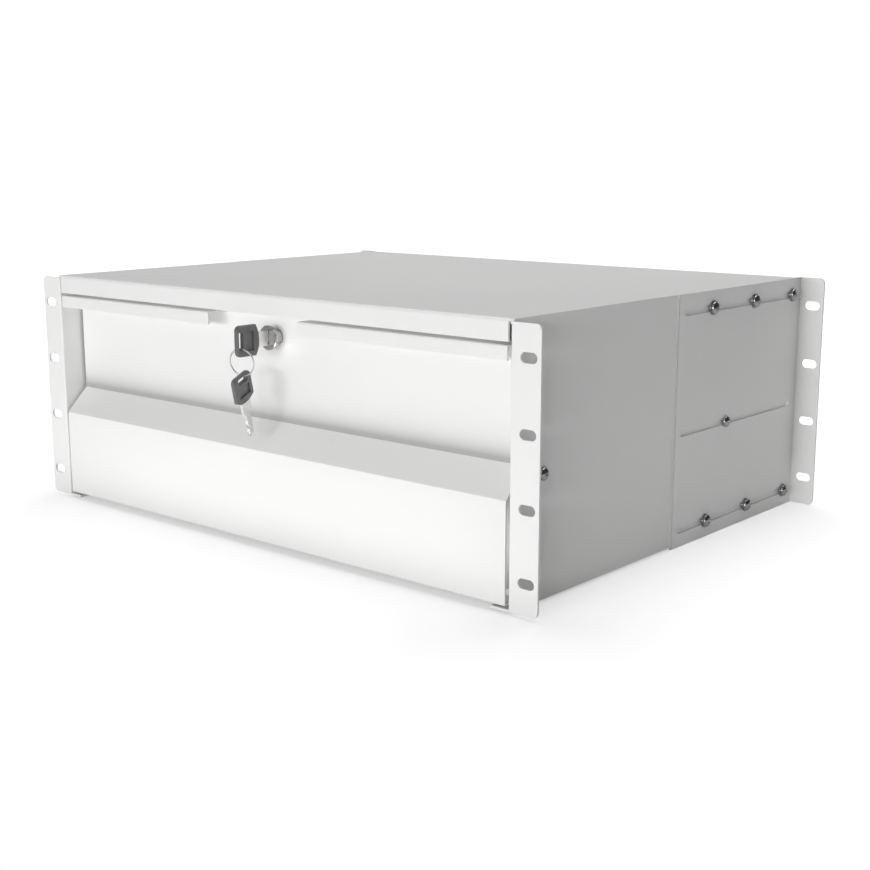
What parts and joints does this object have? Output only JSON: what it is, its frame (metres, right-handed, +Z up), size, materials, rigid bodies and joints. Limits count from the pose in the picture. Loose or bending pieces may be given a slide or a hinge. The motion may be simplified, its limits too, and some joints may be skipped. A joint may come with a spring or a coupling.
{
  "type": "sliding rack drawer",
  "caption": "Sheet metal drawer for a 19 inch rack: casing with slotted ears and adjustable rear brackets, ball bearing slides, recessed grip front, cam lock with keys.",
  "frame": {"origin": "centre of the front hole pattern, on the front face of the ears", "axes": "+X right and +Z up as seen from the front, +Y towards the back"},
  "size_m": [0.483, 0.3863, 0.1758],
  "materials": {
    "powder_coat": "fine-textured semi-matt powder coat",
    "screw_steel": "bright zinc",
    "slide_steel": "zinc-plated cold-rolled steel",
    "ball_steel": "polished",
    "bumper_nylon": "moulded",
    "lock_nickel": "satin nickel",
    "key_plastic": "fine texture"
  },
  "bodies": {
    "casing": {"side_panel_left": "powder_coat", "side_panel_right": "powder_coat", "top_cover": "powder_coat", "rear_brace": "powder_coat", "lock_strike": "powder_coat", "slide_outer_left": "slide_steel", "slide_outer_right": "slide_steel", "slide_bumper_left": "bumper_nylon", "slide_bumper_right": "bumper_nylon", "slide_front_screws": "screw_steel", "slide_rear_screws": "screw_steel", "bracket_screws_left": "screw_steel", "bracket_screws_right": "screw_steel", "bracket_washers_left": "screw_steel", "bracket_washers_right": "screw_steel", "bracket_nuts_left": "screw_steel", "bracket_nuts_right": "screw_steel"},
    "bracket_left": {"rear_bracket_left": "powder_coat"},
    "bracket_right": {"rear_bracket_right": "powder_coat"},
    "mid_left": {"slide_mid_left": "slide_steel"},
    "mid_right": {"slide_mid_right": "slide_steel"},
    "outer_cage_left": {"ball_cage_outer_left": "slide_steel", "balls_outer_left": "ball_steel"},
    "outer_cage_right": {"ball_cage_outer_right": "slide_steel", "balls_outer_right": "ball_steel"},
    "inner_cage_left": {"ball_cage_inner_left": "slide_steel", "balls_inner_left": "ball_steel"},
    "inner_cage_right": {"ball_cage_inner_right": "slide_steel", "balls_inner_right": "ball_steel"},
    "drawer": {"drawer_front": "powder_coat", "drawer_box_front": "powder_coat", "drawer_side_left": "powder_coat", "drawer_side_right": "powder_coat", "drawer_bottom": "powder_coat", "drawer_back": "powder_coat", "slide_inner_left": "slide_steel", "slide_inner_right": "slide_steel", "slide_drawer_screws_left": "screw_steel", "slide_drawer_screws_right": "screw_steel", "front_studs": "screw_steel", "front_nuts": "screw_steel", "lock_housing": "lock_nickel", "lock_nut": "screw_steel"},
    "plug": {"lock_plug": "lock_nickel", "lock_cam": "lock_nickel", "cam_screw": "screw_steel"},
    "key": {"key_bow": "key_plastic", "key_blade": "lock_nickel"},
    "ring": {"key_ring": "lock_nickel"},
    "spare_key": {"spare_key_bow": "key_plastic", "spare_key_blade": "lock_nickel"}
  },
  "joints": [
    {"name": "drawer_slide", "type": "slide", "parent": "casing", "child": "drawer", "axis": [0, -1, 0], "range_m": [0, 0.3]},
    {"name": "mid_left_slide", "type": "slide", "parent": "casing", "child": "mid_left", "axis": [0, -1, 0], "range_m": [0, 0.15]},
    {"name": "outer_cage_left_slide", "type": "slide", "parent": "casing", "child": "outer_cage_left", "axis": [0, -1, 0], "range_m": [0, 0.075]},
    {"name": "inner_cage_left_slide", "type": "slide", "parent": "casing", "child": "inner_cage_left", "axis": [0, -1, 0], "range_m": [0, 0.225]},
    {"name": "bracket_left_slide", "type": "slide", "parent": "casing", "child": "bracket_left", "axis": [0, 1, 0], "range_m": [0, 0.034]},
    {"name": "mid_right_slide", "type": "slide", "parent": "casing", "child": "mid_right", "axis": [0, -1, 0], "range_m": [0, 0.15]},
    {"name": "outer_cage_right_slide", "type": "slide", "parent": "casing", "child": "outer_cage_right", "axis": [0, -1, 0], "range_m": [0, 0.075]},
    {"name": "inner_cage_right_slide", "type": "slide", "parent": "casing", "child": "inner_cage_right", "axis": [0, -1, 0], "range_m": [0, 0.225]},
    {"name": "bracket_right_slide", "type": "slide", "parent": "casing", "child": "bracket_right", "axis": [0, 1, 0], "range_m": [0, 0.034]},
    {"name": "lock_turn", "type": "hinge", "parent": "drawer", "child": "plug", "pos_m": [0.0066, 0.0084, 0.0579], "axis": [0, 1, 0], "range_deg": [0, 90]},
    {"name": "key_pull", "type": "slide", "parent": "plug", "child": "key", "axis": [0, -1, 0], "range_m": [0, 0.024]},
    {"name": "ring_swing", "type": "hinge", "parent": "key", "child": "ring", "pos_m": [0.0066, -0.01572, 0.05277], "axis": [0.9563, 0.2924, 0], "range_deg": [-40, 12]},
    {"name": "spare_key_swing", "type": "hinge", "parent": "ring", "child": "spare_key", "pos_m": [0.00589, -0.01341, 0.03463], "axis": [0.9563, 0.2924, 0], "range_deg": [-30, 10]}
  ],
  "couplings": [
    {"joint": "mid_left_slide", "follows": "drawer_slide", "ratio": 0.5},
    {"joint": "outer_cage_left_slide", "follows": "drawer_slide", "ratio": 0.25},
    {"joint": "inner_cage_left_slide", "follows": "drawer_slide", "ratio": 0.75},
    {"joint": "mid_right_slide", "follows": "drawer_slide", "ratio": 0.5},
    {"joint": "outer_cage_right_slide", "follows": "drawer_slide", "ratio": 0.25},
    {"joint": "inner_cage_right_slide", "follows": "drawer_slide", "ratio": 0.75}
  ]
}
